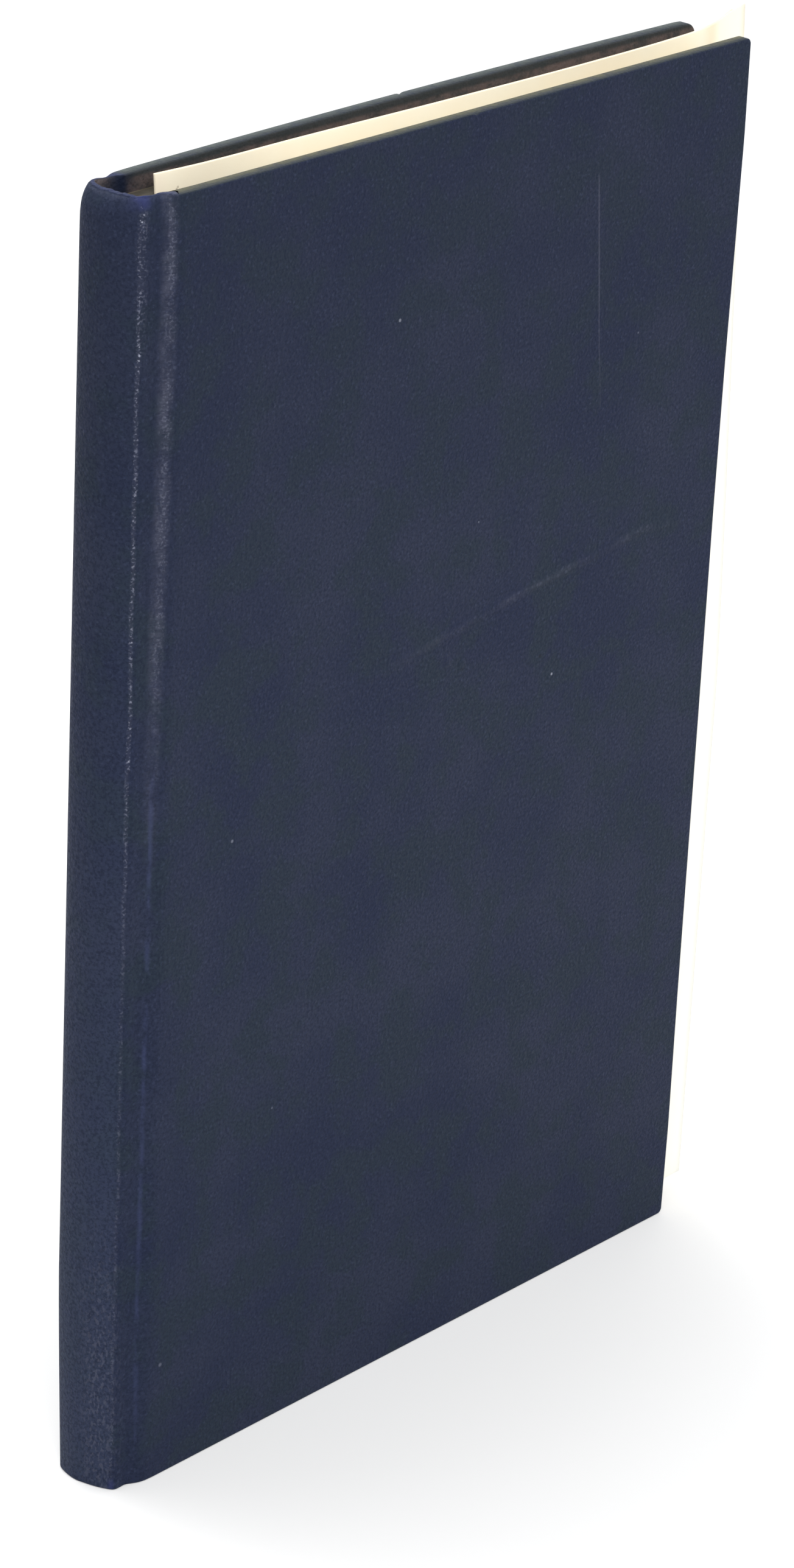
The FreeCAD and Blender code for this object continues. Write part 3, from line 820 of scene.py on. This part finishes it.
def leaf_paper():
    """Smooth cream paper, deeper in tone at its fold and its head edge, with painted shade at its
    bend and painted light that makes it pale past the fore edge of the covers. A small dark mark lies on
    it near the head."""
    p = Paint("cream_leaf_paper")
    rest, (x, _, z) = p.attribute("rest")
    _, (_, _, inside) = p.attribute("cloth")
    cloud = p.noise(rest, 0.05, 4.0)
    fibre = p.noise(p.scaled(rest, (1.0, 1.0, 1.8)), 1.6, 5.0, 0.6)
    colour = p.mix(p.step(cloud, 0.35, 0.7), srgb(255, 248, 226), srgb(255, 244, 218))
    colour = p.mix(p.product(p.near(x, LEAF_FOLD, 3.0), 0.4), colour, srgb(248, 232, 210))
    # Painted light: paler past the fore edge of the covers, palest towards the head.
    leaf_lit_past_covers = p.mix(p.step(z, 185, 215), srgb(255, 254, 246), srgb(255, 249, 228))
    colour = p.mix(p.product(p.step(x, 136.0, 143.0), 0.9), colour, leaf_lit_past_covers)
    # Painted shade where the leaf bends near the fore edge.
    leaf_bend_shade = p.product(p.near(x, 137.5, 4.0), p.step(z, 150, HEIGHT))
    colour = p.mix(p.product(leaf_bend_shade, 0.6), colour, srgb(240, 224, 190))
    rim = p.step(p.away(inside, 0.5), 0.45, 0.25)
    head_rim = p.product(rim, p.step(z, HEIGHT - 1.0, HEIGHT - 0.3), 0.7)
    colour = p.mix(head_rim, colour, srgb(214, 196, 164))
    for px, pz in LEAF_DARK_MARK:
        speck = p.product(p.spot(rest, (px, LEAF_DARK_MARK_DEPTH, pz), 0.3), 0.45)
        colour = p.mix(speck, colour, srgb(120, 104, 74))
    return p.finish(colour, p.step(fibre, 0.3, 0.7, 0.6, 0.72), p.bump(fibre, 0.015), 0.3)


def page_edges():
    """Cut edges of many pages: fine lines along each leaf, and a head darkened by painted shade,
    most of all by the spine."""
    p = Paint("page_edges")
    place_mm = p.object_mm()
    x, _, z = p.split(place_mm)
    lines = p.noise(p.scaled(place_mm, (0.03, 7.0, 0.03)), 1.0, 3.0, 0.7)
    sections = p.noise(p.scaled(place_mm, (0.01, 1.1, 0.01)), 1.0, 1.0)
    colour = p.mix(p.step(lines, 0.35, 0.65), srgb(214, 199, 166), srgb(238, 228, 203))
    colour = p.mix(p.product(p.step(sections, 0.45, 0.6), 0.25), colour, srgb(196, 180, 146))
    # Painted shade on the head of the pages, deepest by the spine.
    page_head_mottle = p.noise(place_mm, 0.35, 5.0, 0.65)
    page_head_shade = p.mix(p.step(page_head_mottle, 0.35, 0.65), srgb(36, 34, 31), srgb(52, 49, 44))
    page_head_half_shade = p.mix(p.step(page_head_mottle, 0.35, 0.65), srgb(150, 138, 112), srgb(172, 160, 132))
    page_head_shade = p.mix(p.step(x, BENCH.x / MM + 45, BENCH.x / MM + 12), page_head_half_shade, page_head_shade)
    top = p.step(z, HEIGHT - SQUARE - 0.5, HEIGHT - SQUARE - 0.1)
    colour = p.mix(p.product(top, p.step(lines, 0.3, 0.7, 0.95, 1.0)), colour, page_head_shade)
    return p.finish(colour, 0.85, p.bump(lines, 0.06), 0.2)


def greyboard():
    p = Paint("grey_board")
    place_mm = p.object_mm()
    pulp = p.noise(place_mm, 0.9, 5.0, 0.7)
    fleck = p.step(p.noise(place_mm, 2.2, 2.0), 0.64, 0.7)
    colour = p.mix(p.step(pulp, 0.35, 0.65), srgb(150, 141, 126), srgb(168, 160, 145))
    colour = p.mix(p.product(fleck, 0.5), colour, srgb(108, 100, 88))
    return p.finish(colour, 0.9, p.bump(pulp, 0.05), 0.2)


def mull():
    """Open woven lining, glued down, so the weave shows through dried glue."""
    p = Paint("mull_lining")
    place_mm = p.object_mm()
    _, y, z = p.split(place_mm)
    warp = p.math("SINE", p.product(y, 7.5))
    weft = p.math("SINE", p.product(z, 7.5))
    weave = p.most(warp, weft)
    glue = p.noise(place_mm, 0.3, 4.0)
    colour = p.mix(p.step(weave, 0.1, 0.9), srgb(132, 112, 78), srgb(196, 184, 156))
    colour = p.mix(p.product(p.step(glue, 0.4, 0.7), 0.5), colour, srgb(150, 122, 78))
    return p.finish(colour, 0.8, p.bump(weave, 0.08), 0.3)


def paint_nodes():
    """Finishes on the CAD nodes that are shown as they are."""
    free_half = endpaper("free_endpaper")
    board, pages, lining = greyboard(), page_edges(), mull()
    finishes = {
        "front_board": board, "back_board": board, "front_flyleaf": free_half, "back_flyleaf": free_half,
        "text_block": pages, "spine_lining": lining,
    }
    for node, material in finishes.items():
        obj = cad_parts[node]
        obj.data.materials.clear()
        obj.data.materials.append(material)
    return board


# Studio: a floor that looks white to the camera but keeps the book's shadow, and is plain
# white in the distance. FLOOR_LIGHT is its colour for the light that it throws back at the
# book; FLOOR_SHARE and FLOOR_GLOW are the lit and the glowing part of what is seen.

FLOOR_SPAN = 8.0
FLOOR_LIGHT = 0.6
FLOOR_SHARE = 0.72
FLOOR_GLOW = 0.11
LIT_REACH = (0.6, 1.3)


def seen_directly(tree):
    """1 for rays that the camera, a mirror or glass sends, 0 for those that light things."""
    rays = tree.nodes.new("ShaderNodeLightPath")
    value = rays.outputs["Is Camera Ray"]
    for name in ("Is Glossy Ray", "Is Transmission Ray"):
        either = tree.nodes.new("ShaderNodeMath")
        either.operation = "MAXIMUM"
        tree.links.new(value, either.inputs[0])
        tree.links.new(rays.outputs[name], either.inputs[1])
        value = either.outputs[0]
    return value


def studio_floor():
    half = FLOOR_SPAN / 2
    corners = [(-half, -half, 0), (half, -half, 0), (half, half, 0), (-half, half, 0)]
    floor = mesh_object("studio_floor", corners, [(0, 1, 2, 3)])
    material = bpy.data.materials.new("studio_floor")
    material.use_nodes = True
    tree = material.node_tree
    tree.nodes.clear()
    plain = tree.nodes.new("ShaderNodeBsdfDiffuse")
    plain.inputs["Color"].default_value = (FLOOR_LIGHT, FLOOR_LIGHT, FLOOR_LIGHT, 1)
    shown = tree.nodes.new("ShaderNodeBsdfDiffuse")
    shown.inputs["Color"].default_value = (FLOOR_SHARE, FLOOR_SHARE, FLOOR_SHARE, 1)
    glow = tree.nodes.new("ShaderNodeEmission")
    glow.inputs["Strength"].default_value = FLOOR_GLOW
    both = tree.nodes.new("ShaderNodeAddShader")
    white = tree.nodes.new("ShaderNodeEmission")
    place_m = tree.nodes.new("ShaderNodeTexCoord")
    away = tree.nodes.new("ShaderNodeVectorMath")
    away.operation = "LENGTH"
    reach = tree.nodes.new("ShaderNodeMapRange")
    reach.interpolation_type = "SMOOTHSTEP"
    reach.inputs["From Min"].default_value, reach.inputs["From Max"].default_value = LIT_REACH
    far = tree.nodes.new("ShaderNodeMixShader")
    pick = tree.nodes.new("ShaderNodeMixShader")
    output = tree.nodes.new("ShaderNodeOutputMaterial")
    tree.links.new(shown.outputs[0], both.inputs[0])
    tree.links.new(glow.outputs[0], both.inputs[1])
    tree.links.new(seen_directly(tree), pick.inputs[0])
    tree.links.new(plain.outputs[0], pick.inputs[1])
    tree.links.new(place_m.outputs["Object"], away.inputs[0])
    tree.links.new(away.outputs["Value"], reach.inputs["Value"])
    tree.links.new(reach.outputs[0], far.inputs[0])
    tree.links.new(both.outputs[0], far.inputs[1])
    tree.links.new(white.outputs[0], far.inputs[2])
    tree.links.new(far.outputs[0], pick.inputs[2])
    tree.links.new(pick.outputs[0], output.inputs["Surface"])
    floor.data.materials.append(material)


WORLD_LIGHT = 0.6


def studio_world():
    world = bpy.data.worlds.new("studio")
    bpy.context.scene.world = world
    world.use_nodes = True
    tree = world.node_tree
    background = tree.nodes["Background"]
    background.inputs["Color"].default_value = (1.0, 1.0, 1.0, 1)
    strength = tree.nodes.new("ShaderNodeMapRange")
    strength.inputs["To Min"].default_value = WORLD_LIGHT
    strength.inputs["To Max"].default_value = 1.0
    tree.links.new(seen_directly(tree), strength.inputs["Value"])
    tree.links.new(strength.outputs[0], background.inputs["Strength"])


# Name, place, width in metres and watts of each lamp. All of them face the book's middle.
LAMPS = [
    ("overhead", (0.1, 0.55, 1.15), 1.0, 14.0),
    ("front_top", (-0.45, -0.85, 1.3), 1.2, 19.5),
    ("right_fill", (1.3, -0.5, 0.9), 1.0, 5.0),
]
LAMP_TARGET = (0, 0, 0.1)


def softbox(name, location, size, energy):
    data = bpy.data.lights.new(name, "AREA")
    data.shape = "SQUARE"
    data.size = size
    data.energy = energy
    lamp = bpy.data.objects.new(name, data)
    lamp.location = location
    toward = Vector(LAMP_TARGET) - Vector(location)
    lamp.rotation_euler = toward.to_track_quat("-Z", "Y").to_euler()
    bpy.context.scene.collection.objects.link(lamp)


# Camera of the photograph: distance and turn found by lining up the covers' edges.

IMAGE_HEIGHT = 2576
FOCAL_PIXELS = 8203
SENSOR = 36.0
CAMERA_AT = (-503.2, -493.6, 445.7)
AZIMUTH = math.radians(-48.62)
ELEVATION = math.radians(24.19)
ROLL = math.radians(2.82)


def photo_camera():
    back = Vector((math.sin(AZIMUTH) * math.cos(ELEVATION), -math.cos(AZIMUTH) * math.cos(ELEVATION),
                   math.sin(ELEVATION)))
    right = Vector((math.cos(AZIMUTH), math.sin(AZIMUTH), 0))
    level_up = back.cross(right)
    across = math.cos(ROLL) * right + math.sin(ROLL) * level_up
    upward = math.cos(ROLL) * level_up - math.sin(ROLL) * right
    data = bpy.data.cameras.new("photo_camera")
    data.sensor_width = SENSOR
    data.lens = FOCAL_PIXELS / IMAGE_HEIGHT * SENSOR
    camera = bpy.data.objects.new("photo_camera", data)
    turn = Matrix((across, upward, back)).transposed().to_4x4()
    camera.matrix_world = Matrix.Translation(Vector(place(CAMERA_AT))) @ turn
    bpy.context.scene.collection.objects.link(camera)
    bpy.context.scene.camera = camera


def main():
    bpy.context.scene.view_settings.view_transform = "Standard"
    photo_camera()
    studio_floor()
    studio_world()
    for lamp in LAMPS:
        softbox(*lamp)
    board = paint_nodes()
    front_cloth(leathercloth("front"))
    back_cloth(leathercloth("back"))
    spine_card(board)
    pasted = endpaper("pasted_endpaper", from_rest=True)
    for side in ("front", "back"):
        pastedown(side, pasted)
    loose_leaf(leaf_paper())


main()
